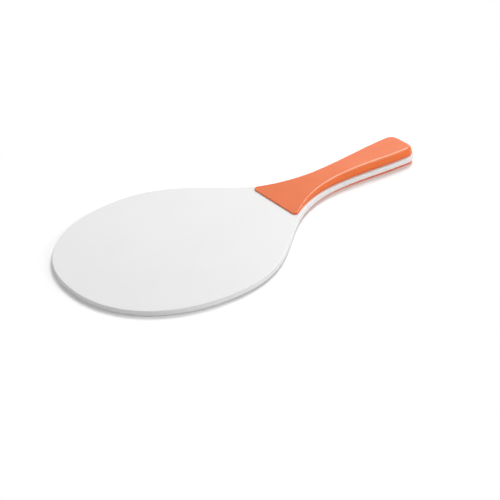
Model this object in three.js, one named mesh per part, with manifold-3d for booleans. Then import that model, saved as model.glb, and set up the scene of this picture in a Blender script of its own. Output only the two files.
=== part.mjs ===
// Frescobol racket: a round-headed white board whose tang is clad by a tall moulded scale on its
// front face and by a thin moulded plate of the same outline on its back.
// Millimetres, +Z up, lying on the flat of the back plate. +X runs from the butt to the tip.
// Board, scale and plate are drawn in plan as distances from the butt (x) and from the axis (y).
import * as THREE from 'three';
import { mergeVertices } from 'three/addons/utils/BufferGeometryUtils.js';
import Module from 'manifold-3d';

const wasm = await Module();
wasm.setup();

// Driving dimensions of the board
const racketLength = 337.5;
const headWidth = 195;
const widestFromTip = 97;
const tangLength = 79; // from the butt to the narrowest place
const neckWidth = 27.2;
const buttWidth = 36.1;
const buttCornerRadius = 12.9;
const boardThickness = 4.6;
const boardEdgeRadius = 0.8;

// Driving dimensions of the front scale, whose outline the back plate shares
const scaleLength = 141;
const sideMargin = 2.6; // white board left showing beside the plastic
const buttMargin = 0.3; // the same at the butt, where the plastic comes almost flush
const scaleButtRadius = 10.2;
const frontCornerRadius = 3;
const gripHeight = 7.6;
const gripFlatLength = 46; // full height from the butt to here
const frontEdgeHeight = 1.3;
const sideDraft = 0.3; // how far the full-height wall leans in at a side
const buttDraft = 1.8; // the same at the butt
const sideShoulder = 1.6; // width of the rounded edge between a full-height side wall and the top
const sideShoulderDrop = 1.3; // how far that edge reaches down the wall
const buttShoulder = 3.7; // the same two at the butt
const buttShoulderDrop = 4.4;
const scaleWall = 1.6;
const ribThickness = 1.3;

// Driving dimension of the back plate
const plateHeight = 2.8;

// Driving dimensions of the blind pins
const pinDiameter = 4;
const pinChamfer = 0.4;
const pinClearance = 0.25;
const scaleRoof = 1.6; // plastic left over a pin's socket in the scale
const plateRoof = 0.8; // the same in the plate
const bossWall = 1.7;
const firstPinFromButt = 20;
const pinPitch = 32;
const gripPinCount = 3;
const pinPairFromFront = 26;
const pinPairSpacing = 19;

const cutOverrun = 1;

// Shares of the lengths that the outline's curves follow
const tangStartShare = 0.51;
const tangEndShare = 0.4;
const neckStartShare = 0.487;
const shoulderEndShare = 0.466;
const headExponentShare = 2 / 2.17; // a circle has 1; less is a little squarer

const steps = { corner: 8, side: 24, boardSide: 28, tip: 22, edge: 2, shoulder: 4, across: 1, round: 20 };

const widestFromButt = racketLength - widestFromTip;
const shoulderLength = widestFromButt - tangLength;

// One side of the board from the butt to its widest place: the tang, then the neck and shoulder
const side = new THREE.CurvePath();
side.add(new THREE.CubicBezierCurve(
  new THREE.Vector2(0, buttWidth / 2),
  new THREE.Vector2(tangStartShare * tangLength, buttWidth / 2),
  new THREE.Vector2((1 - tangEndShare) * tangLength, neckWidth / 2),
  new THREE.Vector2(tangLength, neckWidth / 2),
));
side.add(new THREE.CubicBezierCurve(
  new THREE.Vector2(tangLength, neckWidth / 2),
  new THREE.Vector2(tangLength + neckStartShare * shoulderLength, neckWidth / 2),
  new THREE.Vector2(widestFromButt - shoulderEndShare * shoulderLength, headWidth / 2),
  new THREE.Vector2(widestFromButt, headWidth / 2),
));

// The unit vector that points from the side towards the racket's axis
function inward(t) {
  const along = side.getTangent(t);
  return new THREE.Vector2(along.y, -along.x);
}

function insetPoint(t, inset) {
  return side.getPoint(t).addScaledVector(inward(t), inset);
}

// Where along the side its inset copy lies at distance x from the butt
function sideParameter(x, inset) {
  let low = 0;
  let high = 1;
  for (let halving = 0; halving < 40; halving += 1) {
    const middle = (low + high) / 2;
    if (insetPoint(middle, inset).x < x) low = middle;
    else high = middle;
  }
  return (low + high) / 2;
}

// Points along an arc between two directions, each with the direction back to its centre
function arcStations(center, radius, fromAngle, toAngle, count) {
  const stations = [];
  for (let i = 0; i <= count; i += 1) {
    const angle = fromAngle + (toAngle - fromAngle) * (i / count);
    const outward = new THREE.Vector2(Math.cos(angle), Math.sin(angle));
    stations.push({
      point: center.clone().addScaledVector(outward, radius),
      inward: outward.negate(),
    });
  }
  return stations;
}

function outwardAngle(t) {
  const normal = inward(t).negate();
  return Math.atan2(normal.y, normal.x);
}

// Half a plan: a straight butt edge, a corner, the board's side inset, a corner, a straight front edge
function planStations({ inset, start, end, startRadius, endRadius }) {
  const startT = sideParameter(start + startRadius, inset + startRadius);
  const endT = sideParameter(end - endRadius, inset + endRadius);
  const startCenter = insetPoint(startT, inset + startRadius);
  const endCenter = insetPoint(endT, inset + endRadius);
  const stations = arcStations(startCenter, startRadius, Math.PI, outwardAngle(startT), steps.corner);
  for (let i = 1; i < steps.side; i += 1) {
    const t = startT + (endT - startT) * (i / steps.side);
    stations.push({ point: insetPoint(t, inset), inward: inward(t) });
  }
  return stations.concat(arcStations(endCenter, endRadius, outwardAngle(endT), 0, steps.corner));
}

// A moulding's height over the board: level on the grip, then a parabola down to the front edge
function heightAlong(x, tallest) {
  const run = Math.max(0, x - gripFlatLength) / (scaleLength - gripFlatLength);
  return tallest - (tallest - frontEdgeHeight) * run * run;
}

// Two triangles for each cell of a grid of points
function gridTriangles(rows) {
  const positions = [];
  for (let i = 0; i + 1 < rows.length; i += 1) {
    for (let j = 0; j + 1 < rows[i].length; j += 1) {
      const corners = [rows[i][j], rows[i + 1][j], rows[i + 1][j + 1], rows[i][j + 1]];
      for (const k of [0, 1, 2, 0, 2, 3]) positions.push(...corners[k].toArray());
    }
  }
  return positions;
}

function rung(from, to) {
  return Array.from({ length: steps.across + 2 }, (_, i) => from.clone().lerp(to, i / (steps.across + 1)));
}

function mirrored(point) {
  return new THREE.Vector3(point.x, -point.y, point.z);
}

// A solid over a plan: drafted walls, an elliptical shoulder and a top that follows a height along x.
// A lower stretch of wall leans in less and has a smaller shoulder, in proportion to its height.
// Towards the butt the walls lean more and the shoulder grows, both along the racket's axis.
function moundGeometry({ plan, floor, height }) {
  const ribs = planStations(plan).map(({ point, inward: normal }) => {
    const tall = height(point.x);
    const heightShare = tall / gripHeight;
    const buttShare = Math.max(0, normal.x) ** 2;
    const drop = heightShare * (sideShoulderDrop + (buttShoulderDrop - sideShoulderDrop) * buttShare);
    const wall = [new THREE.Vector3(point.x, point.y, floor)];
    for (let i = 0; i <= steps.shoulder; i += 1) {
      const turn = (Math.PI / 2) * (i / steps.shoulder);
      const below = drop * (1 - Math.sin(turn));
      const leanShare = (tall - below) / gripHeight;
      const roundShare = heightShare * (1 - Math.cos(turn));
      const inset = sideDraft * leanShare + sideShoulder * roundShare;
      const buttInset = buttDraft * leanShare + buttShoulder * roundShare;
      const x = point.x + normal.x * inset + buttShare * (buttInset - inset);
      wall.push(new THREE.Vector3(x, point.y + normal.y * inset, height(x) - below));
    }
    return wall;
  });
  const loops = ribs.map((wall) => {
    const foot = wall[0];
    const crest = wall.at(-1);
    const top = rung(crest, mirrored(crest)).slice(1);
    const down = wall.slice(0, -1).reverse().map(mirrored);
    const bottom = rung(mirrored(foot), foot).slice(1);
    return [...wall, ...top, ...down, ...bottom];
  });
  const cap = (wall) => wall.map((point) => rung(point, mirrored(point)));
  const positions = [
    ...gridTriangles(loops.reverse()),
    ...gridTriangles(cap(ribs[0]).reverse()),
    ...gridTriangles(cap(ribs.at(-1))),
  ];
  const geometry = new THREE.BufferGeometry();
  geometry.setAttribute('position', new THREE.Float32BufferAttribute(positions, 3));
  return geometry;
}

function toSolid(geometry) {
  const bare = geometry.clone();
  for (const name of ['normal', 'uv']) bare.deleteAttribute(name);
  const merged = mergeVertices(bare);
  return new wasm.Manifold(new wasm.Mesh({
    numProp: 3,
    vertProperties: new Float32Array(merged.attributes.position.array),
    triVerts: new Uint32Array(merged.index.array),
  }));
}

function toGeometry(solid) {
  const mesh = solid.getMesh();
  const geometry = new THREE.BufferGeometry();
  geometry.setAttribute('position', new THREE.BufferAttribute(mesh.vertProperties, mesh.numProp));
  geometry.setIndex(new THREE.BufferAttribute(mesh.triVerts, 1));
  return geometry;
}

function upright(radius, bottom, top, place) {
  const geometry = new THREE.CylinderGeometry(radius, radius, top - bottom, steps.round);
  geometry.rotateX(Math.PI / 2);
  geometry.translate(place.x, place.y, (top + bottom) / 2);
  return toSolid(geometry);
}

// The pins' places in plan, from the butt: a row along the grip, then a pair under the fishtail
const pairFromButt = scaleLength - pinPairFromFront;
const pinPlaces = [];
for (let i = 0; i < gripPinCount; i += 1) {
  pinPlaces.push(new THREE.Vector2(firstPinFromButt + i * pinPitch, 0));
}
pinPlaces.push(new THREE.Vector2(pairFromButt, pinPairSpacing / 2));
pinPlaces.push(new THREE.Vector2(pairFromButt, -pinPairSpacing / 2));

// The pins are alike, so their reach is what the mouldings can take at the lower, front pair
const socketRadius = pinDiameter / 2 + pinClearance;
const bossRadius = socketRadius + bossWall;
const pairFarSide = pairFromButt + socketRadius;
const scaleSocket = heightAlong(pairFarSide, gripHeight) - scaleRoof;
const plateSocket = heightAlong(pairFarSide, plateHeight) - plateRoof;
const pinTop = boardThickness / 2 + scaleSocket - pinClearance;
const pinBottom = -boardThickness / 2 - plateSocket + pinClearance;

// The head's end: a quarter of a superellipse from the widest place to the tip
function tipPoint(angle) {
  return new THREE.Vector2(
    widestFromButt + widestFromTip * Math.cos(angle) ** headExponentShare,
    (headWidth / 2) * Math.sin(angle) ** headExponentShare,
  );
}

function boardOutline() {
  const startT = sideParameter(buttCornerRadius, buttCornerRadius);
  const center = insetPoint(startT, buttCornerRadius);
  const corner = arcStations(center, buttCornerRadius, Math.PI, outwardAngle(startT), steps.corner);
  const half = corner.map((station) => station.point);
  for (let i = 1; i < steps.boardSide; i += 1) {
    half.push(insetPoint(startT + (1 - startT) * (i / steps.boardSide), 0));
  }
  for (let i = 0; i < steps.tip; i += 1) {
    half.push(tipPoint((Math.PI / 2) * (1 - i / steps.tip)));
  }
  const other = half.map((point) => new THREE.Vector2(point.x, -point.y));
  return [...other, new THREE.Vector2(racketLength, 0), ...half.reverse()];
}

// The board: one panel with eased edges, bored through where the pins cross its tang
function boardGeometry() {
  const geometry = new THREE.ExtrudeGeometry(new THREE.Shape(boardOutline()), {
    depth: boardThickness - 2 * boardEdgeRadius,
    bevelThickness: boardEdgeRadius,
    bevelSize: boardEdgeRadius,
    bevelOffset: -boardEdgeRadius,
    bevelSegments: steps.edge,
  });
  geometry.translate(0, 0, boardEdgeRadius - boardThickness / 2);
  const reach = boardThickness / 2 + cutOverrun;
  return toGeometry(boreSockets(toSolid(geometry), -reach, reach));
}

function boxSolid(length, width, low, high, x, y) {
  const geometry = new THREE.BoxGeometry(length, width, high - low);
  geometry.translate(x, y, (low + high) / 2);
  return toSolid(geometry);
}

// The plan that the scale and the plate share, and the same drawn in by a wall
function mouldingPlan(wall, end, endRadius) {
  return {
    inset: sideMargin + wall,
    start: buttMargin + wall,
    end,
    startRadius: scaleButtRadius - wall,
    endRadius,
  };
}

function boreSockets(solid, bottom, top) {
  const bore = (place) => upright(socketRadius, bottom, top, place);
  return pinPlaces.reduce((bored, place) => bored.subtract(bore(place)), solid);
}

// The hollow stops where the scale is only two walls high, and the fishtail's front is solid
function hollowEnd() {
  const drop = (gripHeight - 2 * scaleWall) / (gripHeight - frontEdgeHeight);
  return gripFlatLength + (scaleLength - gripFlatLength) * Math.sqrt(drop);
}

// The front scale: an open-backed moulding with a spine, cross ribs and a boss for each pin
function scaleGeometry() {
  const shell = toSolid(moundGeometry({
    plan: mouldingPlan(0, scaleLength, frontCornerRadius),
    floor: 0,
    height: (x) => heightAlong(x, gripHeight),
  }));
  let hollow = toSolid(moundGeometry({
    plan: mouldingPlan(scaleWall, hollowEnd(), frontCornerRadius / 2),
    floor: -cutOverrun,
    height: (x) => heightAlong(x, gripHeight) - scaleWall,
  }));
  const low = -2 * cutOverrun;
  hollow = hollow.subtract(boxSolid(pairFromButt, ribThickness, low, gripHeight, pairFromButt / 2, 0));
  const stops = [...pinPlaces.slice(0, gripPinCount).map((place) => place.x), pairFromButt];
  for (let i = 0; i + 1 < stops.length; i += 1) {
    const x = (stops[i] + stops[i + 1]) / 2;
    hollow = hollow.subtract(boxSolid(ribThickness, headWidth, low, gripHeight, x, 0));
  }
  for (const place of pinPlaces) {
    hollow = hollow.subtract(upright(bossRadius, low, gripHeight, place));
  }
  return toGeometry(boreSockets(shell.subtract(hollow), -cutOverrun, scaleSocket));
}

// The back plate: solid, drawn like the scale with its outer face up, with a shallow socket for each pin
function plateGeometry() {
  const plate = toSolid(moundGeometry({
    plan: mouldingPlan(0, scaleLength, frontCornerRadius),
    floor: 0,
    height: (x) => heightAlong(x, plateHeight),
  }));
  return toGeometry(boreSockets(plate, -cutOverrun, plateSocket));
}

// A pin: a short round rod with chamfered ends
function pinGeometry() {
  const radius = pinDiameter / 2;
  const geometry = new THREE.LatheGeometry([
    new THREE.Vector2(0, pinBottom),
    new THREE.Vector2(radius - pinChamfer, pinBottom),
    new THREE.Vector2(radius, pinBottom + pinChamfer),
    new THREE.Vector2(radius, pinTop - pinChamfer),
    new THREE.Vector2(radius - pinChamfer, pinTop),
    new THREE.Vector2(0, pinTop),
  ], steps.round);
  geometry.rotateX(Math.PI / 2);
  return toGeometry(toSolid(geometry));
}

const whitePaint = new THREE.MeshStandardMaterial({ color: 0xebebea, roughness: 0.45, metalness: 0 });
const orangePlastic = new THREE.MeshStandardMaterial({ color: 0xf16d11, roughness: 0.16, metalness: 0 });
const naturalNylon = new THREE.MeshStandardMaterial({ color: 0xe6e0d0, roughness: 0.5, metalness: 0 });

function addPiece(parent, name, geometry, material) {
  geometry.computeVertexNormals();
  const mesh = new THREE.Mesh(geometry, material);
  mesh.name = name;
  parent.add(mesh);
  return mesh;
}

const racket = new THREE.Group();
const inPlan = new THREE.Group();
inPlan.position.set(-racketLength / 2, 0, plateHeight + boardThickness / 2);
racket.add(inPlan);

addPiece(inPlan, 'blade_board', boardGeometry(), whitePaint);

const frontScale = addPiece(inPlan, 'front_handle_scale', scaleGeometry(), orangePlastic);
frontScale.position.z = boardThickness / 2;

const backPlate = addPiece(inPlan, 'back_handle_plate', plateGeometry(), orangePlastic);
backPlate.rotation.x = Math.PI;
backPlate.position.z = -boardThickness / 2;

pinPlaces.forEach((place, i) => {
  const pin = addPiece(inPlan, `blind_pin_${i + 1}`, pinGeometry(), naturalNylon);
  pin.position.set(place.x, place.y, 0);
});

export default racket;
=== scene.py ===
# Frescobol racket: a round-headed white board, whose tang is clad by a tall glossy orange scale on the
# front and a thin orange plate on the back. Metres, +X from the butt to the tip, +Z out of the front.
import math

import bmesh
import bpy
import numpy as np
from mathutils import Matrix, Vector


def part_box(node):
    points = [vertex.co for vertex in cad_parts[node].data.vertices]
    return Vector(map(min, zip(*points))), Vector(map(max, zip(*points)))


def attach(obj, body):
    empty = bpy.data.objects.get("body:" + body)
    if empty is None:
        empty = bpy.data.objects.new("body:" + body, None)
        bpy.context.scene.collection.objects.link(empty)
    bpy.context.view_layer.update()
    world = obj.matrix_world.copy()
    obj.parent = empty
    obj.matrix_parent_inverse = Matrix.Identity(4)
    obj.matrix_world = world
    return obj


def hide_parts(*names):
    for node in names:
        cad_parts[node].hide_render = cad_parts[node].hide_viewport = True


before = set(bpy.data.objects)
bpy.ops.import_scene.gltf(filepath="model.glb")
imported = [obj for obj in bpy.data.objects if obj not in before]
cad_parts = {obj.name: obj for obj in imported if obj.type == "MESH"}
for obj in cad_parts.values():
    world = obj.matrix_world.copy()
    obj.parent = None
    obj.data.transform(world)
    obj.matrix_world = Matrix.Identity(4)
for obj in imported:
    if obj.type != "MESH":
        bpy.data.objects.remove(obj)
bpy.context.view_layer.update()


# The board is one panel of wood fibre, sawn with its tang in one piece with the head. The sawn edge is
# eased on both sides and the tang is bored for five pins, before the whole board is sprayed satin white.
board_low, board_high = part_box("blade_board")
racket_length = board_high.x - board_low.x
head_width = board_high.y - board_low.y
board_thickness = board_high.z - board_low.z
board_middle = (board_high.z + board_low.z) / 2
widest_from_tip = 0.097
widest_from_butt = racket_length - widest_from_tip
tang_length = 0.079
shoulder_length = widest_from_butt - tang_length
neck_width = 0.0272
butt_width = 0.0361
butt_corner_radius = 0.0129
board_edge_radius = 0.0008
tang_start_share = 0.51
tang_end_share = 0.4
neck_start_share = 0.487
shoulder_end_share = 0.466
head_exponent = 2.17
pin_clearance = 0.00025
cut_overrun = 0.001
merge_distance = 0.000004
sharp_angle = math.radians(35)
flat_support = 0.0004  # a ring of points this far inside a rounded edge keeps the flat beside it flat
side_table_points = 4001
corner_points = 24
side_points = 150
tip_points = 120
rung_points = 11
edge_points = 7
round_points = 48
rung_steps = np.linspace(0, 1, rung_points + 2)[1:-1, None]
mirror = np.array([1, -1])

side_handles = np.array([
    [
        (0, butt_width / 2),
        (tang_start_share * tang_length, butt_width / 2),
        ((1 - tang_end_share) * tang_length, neck_width / 2),
        (tang_length, neck_width / 2),
    ],
    [
        (tang_length, neck_width / 2),
        (tang_length + neck_start_share * shoulder_length, neck_width / 2),
        (widest_from_butt - shoulder_end_share * shoulder_length, head_width / 2),
        (widest_from_butt, head_width / 2),
    ],
])


def side_curve(t, inset):
    """Points in plan and inward unit normals of the board's side, drawn in by inset.
    The side is two cubic Bezier curves end to end: t runs over the tang from 0 to 1 and over the
    shoulder from 1 to 2. The normal is the tangent turned a quarter towards the racket's axis."""
    part = np.minimum(t.astype(int), 1)
    s = (t - part)[:, None]
    a, b, c, d = np.moveaxis(side_handles[part], 1, 0)
    point = a * (1 - s) ** 3 + 3 * b * s * (1 - s) ** 2 + 3 * c * s**2 * (1 - s) + d * s**3
    slope = (b - a) * (1 - s) ** 2 + 2 * (c - b) * s * (1 - s) + (d - c) * s**2
    slope /= np.linalg.norm(slope, axis=1)[:, None]
    normal = np.column_stack([slope[:, 1], -slope[:, 0]])
    return point + normal * inset, normal


def side_place(x, inset):
    """Where along the side its inset copy lies at x from the butt, read from a fine table."""
    t = np.linspace(0, 2, side_table_points)
    return np.interp(x, side_curve(t, inset)[0][:, 0], t)


def corner_arc(t, inset, radius, first, last):
    """Points and inward normals of a corner of that radius, which touches the inset side at t.
    Its centre is the side's point drawn in by inset plus radius. first and last are the directions
    from the centre, as angles, and None stands for the direction back to the side."""
    centre, normal = side_curve(np.array([t]), inset + radius)
    towards_side = math.atan2(-normal[0, 1], -normal[0, 0])
    ends = [towards_side if end is None else end for end in (first, last)]
    angle = np.linspace(*ends, corner_points)
    outward = np.column_stack([np.cos(angle), np.sin(angle)])
    return centre + outward * radius, -outward


def head_tip():
    """The head from its widest place to the tip: a quarter of |x/a|^n + |y/b|^n = 1, whose normal is
    its gradient, (x/a)^(n-1) / a and (y/b)^(n-1) / b."""
    angle = np.linspace(np.pi / 2, 0, tip_points)[1:]
    across = np.cos(angle).clip(0) ** (2 / head_exponent)
    up = np.sin(angle).clip(0) ** (2 / head_exponent)
    half = np.array([widest_from_tip, head_width / 2])
    point = np.column_stack([across, up]) * half + [widest_from_butt, 0]
    gradient = np.column_stack([across, up]) ** (head_exponent - 1) / half
    return point, -gradient / np.linalg.norm(gradient, axis=1)[:, None]


def whole_plan(half_point, half_normal):
    """A closed plan from one half of it: that half from butt to front, the front edge, the mirrored
    half back to the butt, and the butt edge. Both edges have rung_points points between their ends."""
    front = half_point[-1] * (1 - rung_steps) + half_point[-1] * mirror * rung_steps
    butt = half_point[0] * mirror * (1 - rung_steps) + half_point[0] * rung_steps
    points = np.vstack([half_point, front, half_point[::-1] * mirror, butt])
    front_normal = np.repeat(half_normal[-1:], rung_points, 0)
    butt_normal = np.repeat(half_normal[:1], rung_points, 0)
    normals = np.vstack([half_normal, front_normal, half_normal[::-1] * mirror, butt_normal])
    return points, normals


def contour(plan, inset, height, shift=0.0):
    """The plan drawn in by inset along its normals and shifted towards the tip, at that height. All
    three may vary round the plan."""
    points, normals = plan
    inset = np.broadcast_to(inset, len(points))[:, None]
    height = np.broadcast_to(height, len(points))
    flat = points + normals * inset
    return np.column_stack([flat[:, 0] + shift + board_low.x, flat[:, 1], height])


def ladder(ring, first_index, next_index, half_count):
    """Fills a closed contour, whose points run as in whole_plan, with rungs from each point of one half
    to its mirror image. first_index numbers the ring's first point and next_index the first new one.
    Returns the rungs' inner points and the grid of point numbers, half_count rows by rung_points + 2."""
    near = ring[:half_count]
    far = ring[half_count + rung_points:2 * half_count + rung_points][::-1]
    inner = near[1:-1, None] * (1 - rung_steps) + far[1:-1, None] * rung_steps
    grid = np.empty((half_count, rung_points + 2), int)
    grid[:, 0] = np.arange(half_count)
    grid[:, -1] = np.arange(2 * half_count + rung_points - 1, half_count + rung_points - 1, -1)
    grid[-1, 1:-1] = half_count + np.arange(rung_points)
    grid[0, 1:-1] = (2 * half_count + rung_points + np.arange(rung_points))[::-1]
    grid += first_index
    inner_numbers = next_index + np.arange((half_count - 2) * rung_points)
    grid[1:-1, 1:-1] = inner_numbers.reshape(half_count - 2, rung_points)
    return inner.reshape(-1, 3), grid


def quads(grid, turned):
    """Four corners for each cell of a grid of point numbers, turned round where asked."""
    corners = [grid[:-1, :-1], grid[:-1, 1:], grid[1:, 1:], grid[1:, :-1]]
    cells = np.stack(corners, -1).reshape(-1, 4)
    return cells[:, ::-1] if turned else cells


def shell_mesh(name, rings, half_count, marks):
    """A closed mesh through a stack of contours, each joined to the next, from the underside's first
    ring up over the wall to the last, with both filled by ladders. marks are values for each ring,
    kept on the points as attributes, which the fills take from the ring that they close."""
    size = len(rings[0])
    wall = np.arange(len(rings) * size).reshape(len(rings), size)
    wall = np.hstack([wall, wall[:, :1]])
    under, under_grid = ladder(rings[0], 0, len(rings) * size, half_count)
    last = (len(rings) - 1) * size
    over, over_grid = ladder(rings[-1], last, len(rings) * size + len(under), half_count)
    points = np.vstack([*rings, under, over])
    faces = np.vstack([quads(wall, True), quads(under_grid, True), quads(over_grid, False)])
    mesh = bpy.data.meshes.new(name)
    mesh.from_pydata(points.tolist(), [], faces.tolist())
    for mark, values in marks.items():
        each = np.concatenate([
            np.repeat(values, size),
            np.full(len(under), values[0]),
            np.full(len(over), values[-1]),
        ])
        mesh.attributes.new(mark, "FLOAT", "POINT").data.foreach_set("value", each.astype(np.float32))
    mesh.polygons.foreach_set("use_smooth", np.ones(len(faces), bool))
    return mesh


def cleaned(mesh):
    """The mesh with points that coincide joined, faces without area dropped and all faces outwards."""
    work = bmesh.new()
    work.from_mesh(mesh)
    bmesh.ops.remove_doubles(work, verts=work.verts, dist=merge_distance)
    bmesh.ops.dissolve_degenerate(work, edges=work.edges, dist=merge_distance)
    bmesh.ops.recalc_face_normals(work, faces=work.faces)
    work.to_mesh(mesh)
    work.free()
    return mesh


def prism(corners, low, high):
    """A closed upright prism over a polygon in plan, whose corners run against the clock."""
    count = len(corners)
    points = np.vstack([np.column_stack([corners, np.full(count, z)]) for z in (low, high)])
    ring = np.arange(count)
    after = np.roll(ring, -1)
    sides = np.column_stack([ring, after, after + count, ring + count])
    ends = [ring[::-1].tolist(), (ring + count).tolist()]
    mesh = bpy.data.meshes.new("tool")
    mesh.from_pydata(points.tolist(), [], sides.tolist() + ends)
    return mesh


def round_prism(centre, radius, low, high):
    """An upright cylinder round a place in plan. It is turned by half a step, so that none of its
    corners meets the middle line of what it cuts."""
    angle = 2 * np.pi * (np.arange(round_points) + 0.5) / round_points
    return prism(centre + radius * np.column_stack([np.cos(angle), np.sin(angle)]), low, high)


def cut(mesh, tools):
    """The mesh with the space of each tool taken out of it, one after the other."""
    for tool in tools:
        body, cutter = (bpy.data.objects.new(data.name, data) for data in (mesh, tool))
        bpy.context.scene.collection.objects.link(body)
        bpy.context.scene.collection.objects.link(cutter)
        modifier = body.modifiers.new("cut", "BOOLEAN")
        modifier.operation = "DIFFERENCE"
        modifier.solver = "MANIFOLD"
        modifier.object = cutter
        shaped = body.evaluated_get(bpy.context.evaluated_depsgraph_get())
        mesh = bpy.data.meshes.new_from_object(shaped)
        bpy.data.objects.remove(body)
        bpy.data.objects.remove(cutter)
    return cleaned(mesh)


pin_names = sorted(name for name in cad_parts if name.startswith("blind_pin"))
pin_boxes = [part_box(name) for name in pin_names]


def pin_sockets(low, high):
    """The sockets that all five pins need, from one height to another. A socket is a pin's clearance
    wider than the pin all round, at the pin's place in the frame."""
    sockets = []
    for pin_low, pin_high in pin_boxes:
        centre = np.array([pin_low.x + pin_high.x, pin_low.y + pin_high.y]) / 2
        radius = (pin_high.x - pin_low.x) / 2 + pin_clearance
        sockets.append(round_prism(centre, radius, low, high))
    return sockets


def show(name, mesh, material, node):
    """Puts a finished piece in the scene, on the racket's one body, in place of its CAD node."""
    mesh.name = name
    mesh.set_sharp_from_angle(angle=sharp_angle)
    piece = bpy.data.objects.new(name, mesh)
    bpy.context.scene.collection.objects.link(piece)
    mesh.materials.clear()
    mesh.materials.append(material)
    mesh.polygons.foreach_set("material_index", np.zeros(len(mesh.polygons), np.int32))
    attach(piece, "root")
    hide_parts(node)


butt_place = side_place(butt_corner_radius, butt_corner_radius)
butt_corner = corner_arc(butt_place, 0, butt_corner_radius, math.pi, None)
board_side = side_curve(np.linspace(butt_place, 2, side_points)[1:], 0)
board_half = [np.vstack(parts) for parts in zip(butt_corner, board_side, head_tip())]
board_plan = whole_plan(*board_half)
edge_turn = np.linspace(0, np.pi / 2, edge_points)
edge_inset = board_edge_radius * (1 - np.cos(edge_turn))
edge_rise = board_thickness / 2 - board_edge_radius * (1 - np.sin(edge_turn))
half_insets = np.append(edge_inset, board_edge_radius + flat_support)
half_heights = np.append(edge_rise, board_thickness / 2)
board_insets = np.concatenate([half_insets[::-1], half_insets])
board_heights = board_middle + np.concatenate([-half_heights[::-1], half_heights])
board_rings = [contour(board_plan, inset, z) for inset, z in zip(board_insets, board_heights)]
rim_mark = np.clip(1 - board_insets / board_edge_radius, 0, 1)
board_mesh = shell_mesh("blade_board_skin", board_rings, len(board_half[0]), {"rim": rim_mark})
board_bores = pin_sockets(board_low.z - cut_overrun, board_high.z + cut_overrun)
board_mesh = cut(cleaned(board_mesh), board_bores)


def new_group(name, inputs, output):
    """An empty shader node group with float inputs, each a name and a default, and a float output.
    Returns the group, its inputs' sockets by name, and the socket that its result is linked to."""
    group = bpy.data.node_groups.new(name, "ShaderNodeTree")
    for label, default in inputs:
        entry = group.interface.new_socket(label, in_out="INPUT", socket_type="NodeSocketFloat")
        entry.default_value = default
    group.interface.new_socket(output, in_out="OUTPUT", socket_type="NodeSocketFloat")
    given = group.nodes.new("NodeGroupInput").outputs
    return group, given, group.nodes.new("NodeGroupOutput").inputs[output]


def feed(tree, socket, value):
    """Gives a socket its value, which is another socket's or a plain one."""
    if isinstance(value, bpy.types.NodeSocket):
        tree.links.new(value, socket)
    else:
        socket.default_value = value


def math_node(tree, operation, first, second):
    """A maths node on two values, each a socket or a number."""
    node = tree.nodes.new("ShaderNodeMath")
    node.operation = operation
    feed(tree, node.inputs[0], first)
    feed(tree, node.inputs[1], second)
    return node.outputs[0]


def noise_node(tree, place, scale, detail, roughness):
    """Noise in three dimensions, whose scale is a socket that gives the number of cells in a metre."""
    node = tree.nodes.new("ShaderNodeTexNoise")
    tree.links.new(place, node.inputs["Vector"])
    tree.links.new(scale, node.inputs["Scale"])
    node.inputs["Detail"].default_value = detail
    node.inputs["Roughness"].default_value = roughness
    return node.outputs["Fac"]


fine_cell_ratio = 5


def make_drift():
    """Slow unevenness of a sprayed or moulded surface: soft patches and, inside them, finer ones."""
    inputs = [("Patch Length", 0.05), ("Contrast", 1.5)]
    group, given, mask = new_group("surface_drift", inputs, "Mask")
    place = group.nodes.new("ShaderNodeTexCoord").outputs["Object"]
    scale = math_node(group, "DIVIDE", 1, given["Patch Length"])
    patches = noise_node(group, place, scale, detail=4, roughness=0.55)
    centred = math_node(group, "SUBTRACT", patches, 0.5)
    stretched = math_node(group, "MULTIPLY", centred, given["Contrast"])
    group.links.new(math_node(group, "ADD", stretched, 0.5), mask)
    return group


def make_grain():
    """Fine relief of a skin: rounded cells of one length, and cells fine_cell_ratio times finer on them,
    whose share of the height is the fineness."""
    inputs = [("Cell Length", 0.0012), ("Fineness", 0.35)]
    group, given, height = new_group("fine_grain", inputs, "Height")
    place = group.nodes.new("ShaderNodeTexCoord").outputs["Object"]
    scale = math_node(group, "DIVIDE", 1, given["Cell Length"])
    cells = noise_node(group, place, scale, detail=1.5, roughness=0.5)
    fine_scale = math_node(group, "MULTIPLY", scale, fine_cell_ratio)
    fine = noise_node(group, place, fine_scale, detail=2, roughness=0.6)
    small = math_node(group, "MULTIPLY", fine, given["Fineness"])
    group.links.new(math_node(group, "ADD", cells, small), height)
    return group


surface_drift = make_drift()
fine_grain = make_grain()


def placed_group(tree, group, **values):
    """What a node group puts out in a material, with the material's own values for its inputs."""
    node = tree.nodes.new("ShaderNodeGroup")
    node.node_tree = group
    for label, value in values.items():
        node.inputs[label.replace("_", " ")].default_value = value
    return node.outputs[0]


def mixed_colour(tree, mask, first, second):
    """The colour that goes from the first to the second as a mask goes from 0 to 1."""
    node = tree.nodes.new("ShaderNodeMix")
    node.data_type = "RGBA"
    tree.links.new(mask, node.inputs["Factor"])
    colour_sockets = [socket for socket in node.inputs if socket.type == "RGBA"]
    for socket, colour in zip(colour_sockets, (first, second)):
        feed(tree, socket, colour)
    return next(socket for socket in node.outputs if socket.type == "RGBA")


def mixed_value(tree, mask, low, high):
    """The value that goes from low to high as a mask goes from 0 to 1."""
    node = tree.nodes.new("ShaderNodeMapRange")
    tree.links.new(mask, node.inputs["Value"])
    node.inputs["To Min"].default_value = low
    node.inputs["To Max"].default_value = high
    return node.outputs["Result"]


def bump_node(tree, height, distance, strength):
    """Turns a height into a normal, for a relief of that depth in metres."""
    node = tree.nodes.new("ShaderNodeBump")
    node.inputs["Strength"].default_value = strength
    node.inputs["Distance"].default_value = distance
    tree.links.new(height, node.inputs["Height"])
    return node.outputs["Normal"]


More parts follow.
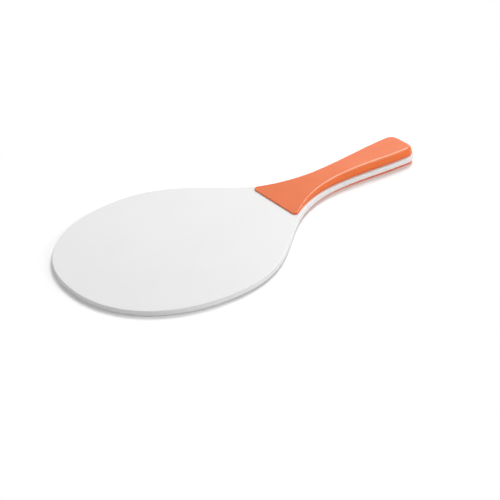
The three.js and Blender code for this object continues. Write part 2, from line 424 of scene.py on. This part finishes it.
def new_material(name):
    """A material with its Principled shader, ready for its own nodes."""
    material = bpy.data.materials.new(name)
    material.use_nodes = True
    return material, material.node_tree, material.node_tree.nodes["Principled BSDF"]


def attribute_value(tree, name):
    """A value kept on the mesh's points."""
    node = tree.nodes.new("ShaderNodeAttribute")
    node.attribute_name = name
    return node.outputs["Fac"]


paint_dull = (0.815, 0.815, 0.812, 1)
paint_bright = (0.85, 0.85, 0.85, 1)
paint_soaked_in = (0.7, 0.7, 0.69, 1)
soaked_in_share = 0.25
rim_extra_roughness = 0.12
rim_relief_share = 2


def white_paint():
    """Satin white paint: a hair's difference of white from patch to patch, the fine peel of a sprayed
    coat, and a rougher, slightly greyer coat where the sawn edge has drunk it in."""
    material, tree, shader = new_material("satin_white_paint")
    patch = placed_group(tree, surface_drift, Patch_Length=0.06, Contrast=1.6)
    face = mixed_colour(tree, patch, paint_dull, paint_bright)
    rim = attribute_value(tree, "rim")
    fibre = placed_group(tree, fine_grain, Cell_Length=0.0009, Fineness=0.8)
    rim_fibre = math_node(tree, "MULTIPLY", rim, fibre)
    soaked = math_node(tree, "MULTIPLY", rim_fibre, soaked_in_share)
    tree.links.new(mixed_colour(tree, soaked, face, paint_soaked_in), shader.inputs["Base Color"])
    satin = mixed_value(tree, patch, low=0.42, high=0.5)
    rim_roughness = math_node(tree, "MULTIPLY", rim, rim_extra_roughness)
    tree.links.new(math_node(tree, "ADD", satin, rim_roughness), shader.inputs["Roughness"])
    peel = placed_group(tree, fine_grain, Cell_Length=0.0016, Fineness=0.25)
    rim_relief = math_node(tree, "MULTIPLY", rim_fibre, rim_relief_share)
    relief = math_node(tree, "ADD", peel, rim_relief)
    tree.links.new(bump_node(tree, relief, distance=0.00004, strength=0.5), shader.inputs["Normal"])
    return material


show("blade_board_skin", board_mesh, white_paint(), "blade_board")


# Five nylon pins stand in blind sockets across the tang and hold both mouldings in line while the glue
# sets. They are moulded plain, with chamfered ends, and nothing of them shows on the finished racket.
nylon_deep = (0.74, 0.68, 0.55, 1)
nylon_pale = (0.8, 0.75, 0.64, 1)


def pin_nylon():
    """Natural nylon: a waxy cream with a faint cloud in it and a drawn, slightly uneven skin."""
    material, tree, shader = new_material("natural_nylon")
    cloud = placed_group(tree, surface_drift, Patch_Length=0.003, Contrast=2)
    tree.links.new(mixed_colour(tree, cloud, nylon_deep, nylon_pale), shader.inputs["Base Color"])
    tree.links.new(mixed_value(tree, cloud, low=0.42, high=0.55), shader.inputs["Roughness"])
    skin = placed_group(tree, fine_grain, Cell_Length=0.0004)
    tree.links.new(bump_node(tree, skin, distance=0.00001, strength=0.4), shader.inputs["Normal"])
    return material


nylon = pin_nylon()
for name in pin_names:
    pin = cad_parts[name]
    pin.data.materials.clear()
    pin.data.materials.append(nylon)


# The front scale is a glossy orange moulding: drafted walls with a small radius at the foot, a rounded
# shoulder round a flat grip, and a top that thins to a fishtail. Its back is hollow, with a spine, cross
# ribs and a boss for each pin. It is pressed over the pins and glued on the tang's front.
scale_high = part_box("front_handle_scale")[1]
grip_height = scale_high.z - board_high.z
scale_length = scale_high.x - board_low.x
side_margin = 0.0026
butt_margin = 0.0003
scale_butt_radius = 0.0102
front_corner_radius = 0.003
grip_flat_length = 0.046
front_edge_height = 0.0013
side_draft = 0.0003
butt_draft = 0.0018
side_shoulder = 0.0016
side_shoulder_drop = 0.0013
butt_shoulder = 0.0037
butt_shoulder_drop = 0.0044
foot_radius = 0.0004
scale_wall = 0.0016
rib_thickness = 0.0013
boss_wall = 0.0017
foot_points = 5
wall_points = 6
shoulder_points = 14
row_digits = 6  # pins whose places agree to this many digits, a micrometre, share a cross line


def moulding_half(wall=0.0, end=scale_length):
    """Half the plan that both mouldings share, drawn in by a wall: a corner at the butt, the board's
    side inset by the margin, and a small corner at the front edge, which lies at end."""
    inset = side_margin + wall
    butt_radius = scale_butt_radius - wall
    first = side_place(butt_margin + wall + butt_radius, inset + butt_radius)
    last = side_place(end - front_corner_radius, inset + front_corner_radius)
    return [np.vstack(parts) for parts in zip(
        corner_arc(first, inset, butt_radius, math.pi, None),
        side_curve(np.linspace(first, last, side_points)[1:-1], inset),
        corner_arc(last, inset, front_corner_radius, None, 0),
    )]


def height_along(x, tallest):
    """Level on the grip, then a parabola down to the front edge."""
    run = np.maximum(0, x - grip_flat_length) / (scale_length - grip_flat_length)
    return tallest - (tallest - front_edge_height) * run**2


def moulding_rings(plan, tallest, roof=0.0):
    """The rings over a moulding's foot, wall and shoulder: their inset, their shift towards the tip,
    their rise, and a mask that is 1 in the middle of the shoulder. The wall leans in by side_draft in
    grip_height, and the shoulder on it is a quarter ellipse. Towards the butt both grow to the butt's
    own sizes, by the square of the normal's share along the racket, and the growth is a shift along
    the racket. Lower stretches of wall have a smaller shoulder, in proportion. A ring's rise follows
    the top's height at the place that it has come to. With a roof the form is the hollow under it:
    lower by the roof, without the foot's radius, and open downwards past the moulding's face."""
    points, normals = plan
    tall = height_along(points[:, 0], tallest) - roof
    full_share = tall / grip_height
    to_butt = np.maximum(0, normals[:, 0]) ** 2
    drop = full_share * (side_shoulder_drop + (butt_shoulder_drop - side_shoulder_drop) * to_butt)

    def place(lean_share, round_share, past=0.0):
        """Inset, shift and the top's height, for shares of the full lean and the full shoulder. past is
        what the inset goes beyond them."""
        inset = side_draft * lean_share + side_shoulder * round_share
        butt_inset = butt_draft * lean_share + butt_shoulder * round_share
        shift = to_butt * (butt_inset - inset)
        inset = inset + past
        return inset, shift, height_along(points[:, 0] + normals[:, 0] * inset + shift, tallest) - roof

    if roof:
        foot = 0.0
        rings = [(0, 0, -cut_overrun, 0), (0, 0, 0, 0)]
    else:
        foot = foot_radius
        rings = [(foot + flat_support, 0, 0, 0)]
        for turn in np.linspace(0, np.pi / 2, foot_points):
            rings.append((foot * (1 - np.sin(turn)), 0, foot * (1 - np.cos(turn)), 0))
    for share in np.linspace(0, 1, wall_points)[1:-1]:
        inset, shift, top = place(share * (tall - drop) / grip_height, 0)
        rings.append((inset, shift, foot + (top - drop - foot) * share, 0))
    for turn in np.linspace(0, np.pi / 2, shoulder_points):
        below = drop * (1 - np.sin(turn))
        inset, shift, top = place((tall - below) / grip_height, full_share * (1 - np.cos(turn)))
        rings.append((inset, shift, top - below, math.sin(2 * turn)))
    rings.append((*place(full_share, full_share, past=flat_support), 0))
    return rings


def moulding_mesh(name, half, rings, face, upward):
    """A moulding on a face of the board, built upward and turned over for the back of the racket."""
    plan = whole_plan(*half)
    contours = [contour(plan, inset, face + upward * rise, shift) for inset, shift, rise, _ in rings]
    ridge = np.array([mark for *_, mark in rings])
    return cleaned(shell_mesh(name, contours, len(half[0]), {"ridge": ridge}))


def upright_box(x, y, length, width, low, high):
    """An upright box round a place in plan."""
    corners = np.array([(-1, -1), (1, -1), (1, 1), (-1, 1)]) * [length / 2, width / 2]
    return prism(corners + [x, y], low, high)


def scale_hollow():
    """The space inside the front scale: a smaller moulding, less the spine, the ribs and the bosses.
    It stops where the scale is only two walls high, so the fishtail's front is solid."""
    thin_share = (grip_height - 2 * scale_wall) / (grip_height - front_edge_height)
    end = grip_flat_length + (scale_length - grip_flat_length) * math.sqrt(thin_share)
    half = moulding_half(scale_wall, end)
    rings = moulding_rings(whole_plan(*half), grip_height, scale_wall)
    space = moulding_mesh("hollow", half, rings, board_high.z, 1)
    low = board_high.z - 2 * cut_overrun
    centres = [(pin_low + pin_high) / 2 for pin_low, pin_high in pin_boxes]
    rows = sorted({round(centre.x, row_digits) for centre in centres})
    spine_length = rows[-1] - board_low.x
    spine_middle = (rows[-1] + board_low.x) / 2
    ribs = [upright_box(spine_middle, 0, spine_length, rib_thickness, low, scale_high.z)]
    for near, far in zip(rows, rows[1:]):
        ribs.append(upright_box((near + far) / 2, 0, rib_thickness, head_width, low, scale_high.z))
    for centre, (pin_low, pin_high) in zip(centres, pin_boxes):
        radius = (pin_high.x - pin_low.x) / 2 + pin_clearance + boss_wall
        ribs.append(round_prism(np.array([centre.x, centre.y]), radius, low, scale_high.z))
    return cut(space, ribs)


orange_deep = (0.86, 0.143, 0.006, 1)
orange_bright = (0.9, 0.159, 0.008, 1)
# painted highlight: a paler orange laid along the middle of the rounded shoulder, by the ridge mask
orange_ridge_highlight = (0.95, 0.42, 0.16, 1)
ridge_highlight_share = 0.1
plastic_ior = 1.55


def orange_plastic():
    """Glossy orange plastic: a deep even orange with faint flow clouds, polished but not dead flat, and
    a painted highlight, a trace paler along the middle of the rounded shoulder."""
    material, tree, shader = new_material("glossy_orange_plastic")
    cloud = placed_group(tree, surface_drift, Patch_Length=0.03, Contrast=1.8)
    body = mixed_colour(tree, cloud, orange_deep, orange_bright)
    # painted highlight along the shoulder's middle, mixed into the body colour
    painted_highlight = math_node(tree, "MULTIPLY", attribute_value(tree, "ridge"), ridge_highlight_share)
    tree.links.new(mixed_colour(tree, painted_highlight, body, orange_ridge_highlight), shader.inputs["Base Color"])
    smear = placed_group(tree, surface_drift, Patch_Length=0.014, Contrast=2.2)
    tree.links.new(mixed_value(tree, smear, low=0.13, high=0.19), shader.inputs["Roughness"])
    shader.inputs["IOR"].default_value = plastic_ior
    skin = placed_group(tree, fine_grain, Cell_Length=0.0025, Fineness=0.1)
    tree.links.new(bump_node(tree, skin, distance=0.00001, strength=0.3), shader.inputs["Normal"])
    return material


orange = orange_plastic()
moulding = moulding_half()
front_rings = moulding_rings(whole_plan(*moulding), grip_height)
front_mesh = moulding_mesh("front_handle_scale_skin", moulding, front_rings, board_high.z, 1)
pin_top = pin_boxes[0][1].z + pin_clearance
front_mesh = cut(front_mesh, [scale_hollow(), *pin_sockets(board_high.z - cut_overrun, pin_top)])
show("front_handle_scale_skin", front_mesh, orange, "front_handle_scale")


# The back plate is moulded in the same plastic to the same outline, but thin and solid, so that the
# racket lies nearly flat. It is glued to the back of the tang.
plate_height = board_low.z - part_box("back_handle_plate")[0].z
back_rings = moulding_rings(whole_plan(*moulding), plate_height)
back_mesh = moulding_mesh("back_handle_plate_skin", moulding, back_rings, board_low.z, -1)
pin_bottom = pin_boxes[0][0].z - pin_clearance
back_mesh = cut(back_mesh, pin_sockets(pin_bottom, board_low.z + cut_overrun))
show("back_handle_plate_skin", back_mesh, orange, "back_handle_plate")


# The racket lies on a plain white floor, on the back plate and on the lower edge of its head. The camera
# and reflections see the floor brighter than it is, so it shows white and keeps the racket's shadow.
floor_reach = 4.0
floor_gap = 0.00003
floor_white = 0.9
floor_seen_white = 1.15
floor_mirrored_white = 1.0
lit_radius = 0.175
plain_radius = 0.27
steepest_slope = 0.1
slope_halvings = 40


def lowest(mesh, slope):
    """The least height of a mesh over a plane that climbs along the racket at that slope."""
    points = np.empty(len(mesh.vertices) * 3)
    mesh.vertices.foreach_get("co", points)
    points = points.reshape(-1, 3)
    return (points[:, 2] - slope * points[:, 0]).min()


def resting_slope():
    """The slope of the plane that touches both the back plate and the head, found by halving."""
    level, steep = 0.0, steepest_slope
    for _ in range(slope_halvings):
        slope = (level + steep) / 2
        if lowest(back_mesh, slope) < lowest(board_mesh, slope):
            level = slope
        else:
            steep = slope
    return level


def seen_rays(tree):
    """Masks of the camera's rays, and of those by which reflections and glass see a surface."""
    path = tree.nodes.new("ShaderNodeLightPath").outputs
    mirrored = math_node(tree, "MAXIMUM", path["Is Glossy Ray"], path["Is Transmission Ray"])
    return path["Is Camera Ray"], mirrored


def floor_material():
    """Matt white that takes the racket's shadow and is lifted for the rays that see it. For them it
    passes into a plain white glow of strength 1 between lit_radius and plain_radius."""
    material, tree, shader = new_material("white_floor")
    tree.nodes.remove(shader)
    seen, mirrored = seen_rays(tree)
    matt = tree.nodes.new("ShaderNodeBsdfDiffuse")
    seen_lift = math_node(tree, "MULTIPLY", seen, floor_seen_white - floor_white)
    mirrored_lift = math_node(tree, "MULTIPLY", mirrored, floor_mirrored_white - floor_white)
    lift = math_node(tree, "ADD", seen_lift, mirrored_lift)
    tree.links.new(math_node(tree, "ADD", lift, floor_white), matt.inputs["Color"])
    plain = tree.nodes.new("ShaderNodeEmission")
    radius = tree.nodes.new("ShaderNodeVectorMath")
    radius.operation = "LENGTH"
    tree.links.new(tree.nodes.new("ShaderNodeTexCoord").outputs["Object"], radius.inputs[0])
    far = tree.nodes.new("ShaderNodeMapRange")
    far.interpolation_type = "SMOOTHSTEP"
    far.inputs["From Min"].default_value = lit_radius
    far.inputs["From Max"].default_value = plain_radius
    tree.links.new(radius.outputs["Value"], far.inputs["Value"])
    mix = tree.nodes.new("ShaderNodeMixShader")
    direct = math_node(tree, "MAXIMUM", seen, mirrored)
    tree.links.new(math_node(tree, "MULTIPLY", far.outputs["Result"], direct), mix.inputs[0])
    tree.links.new(matt.outputs["BSDF"], mix.inputs[1])
    tree.links.new(plain.outputs["Emission"], mix.inputs[2])
    tree.links.new(mix.outputs["Shader"], tree.nodes["Material Output"].inputs["Surface"])
    return material


floor_slope = resting_slope()
floor_corners = np.array([(-1, -1), (1, -1), (1, 1), (-1, 1)]) * floor_reach
floor_heights = lowest(back_mesh, floor_slope) - floor_gap + floor_slope * floor_corners[:, 0]
floor_mesh = bpy.data.meshes.new("floor")
floor_mesh.from_pydata(np.column_stack([floor_corners, floor_heights]).tolist(), [], [(0, 1, 2, 3)])
floor_mesh.materials.append(floor_material())
floor = bpy.data.objects.new("floor", floor_mesh)
bpy.context.scene.collection.objects.link(floor)


# Soft lamps as in the photograph: the key behind the racket draws the bright line on the grip's edge,
# the low sheet behind it gives the orange its sheen, and the fill and a weak side lamp light the near
# walls. The white room adds the rest. A lamp's share is what a white surface that faces it returns.
room_level = 0.29
room_colour = (1, 1, 1, 1)


def soft_lamp(name, direction, distance, half_angle, share):
    """A square lamp in that direction from the racket, turned to face it. Seen from the racket it spans
    twice the half angle, and its power is share * (pi * distance)^2."""
    lamp = bpy.data.lights.new(name, "AREA")
    lamp.shape = "SQUARE"
    lamp.size = 2 * distance * math.tan(math.radians(half_angle))
    lamp.energy = share * (math.pi * distance) ** 2
    lamp_object = bpy.data.objects.new(name, lamp)
    away = Vector(direction).normalized()
    lamp_object.location = away * distance
    lamp_object.rotation_mode = "QUATERNION"
    lamp_object.rotation_quaternion = away.to_track_quat("Z", "Y")
    bpy.context.scene.collection.objects.link(lamp_object)


soft_lamp("key", direction=(-0.54, -0.38, 0.75), distance=2.1, half_angle=14, share=0.69)
soft_lamp("sheet", direction=(-0.438, -0.743, 0.506), distance=2.1, half_angle=25, share=0.06)
soft_lamp("fill", direction=(-0.49, 0.82, 0.29), distance=2.0, half_angle=20, share=0.5)
soft_lamp("side", direction=(0.93, 0.12, 0.25), distance=2.1, half_angle=20, share=0.13)

world = bpy.data.worlds.new("room")
world.use_nodes = True
bpy.context.scene.world = world
room = world.node_tree
room_lift = math_node(room, "MULTIPLY", math_node(room, "MAXIMUM", *seen_rays(room)), 1 - room_level)
room.nodes["Background"].inputs["Color"].default_value = room_colour
room_strength = room.nodes["Background"].inputs["Strength"]
room.links.new(math_node(room, "ADD", room_lift, room_level), room_strength)
bpy.context.scene.view_settings.view_transform = "Standard"


# The camera stands as in the photograph: above the head's side, some 30 degrees up, with a long lens.
# It is turned a little about its own axis, because the racket leans there and lies flat here.
camera_place = Vector((0.66228, 1.12256, 0.73728))
camera_forward = Vector((-0.438031, -0.742925, -0.506154))
camera_right = Vector((-0.825925, 0.554894, -0.0997))
camera_film_width = 36  # millimetres
photo_width = 500
photo_focal_length = 1800  # in pixels of that width

camera_data = bpy.data.cameras.new("camera")
camera_data.sensor_width = camera_film_width
camera_data.lens = photo_focal_length / photo_width * camera_film_width
camera = bpy.data.objects.new("camera", camera_data)
camera_up = camera_right.cross(camera_forward)
camera_turn = Matrix((camera_right, camera_up, -camera_forward)).transposed()
camera.matrix_world = Matrix.Translation(camera_place) @ camera_turn.to_4x4()
bpy.context.scene.collection.objects.link(camera)
bpy.context.scene.camera = camera
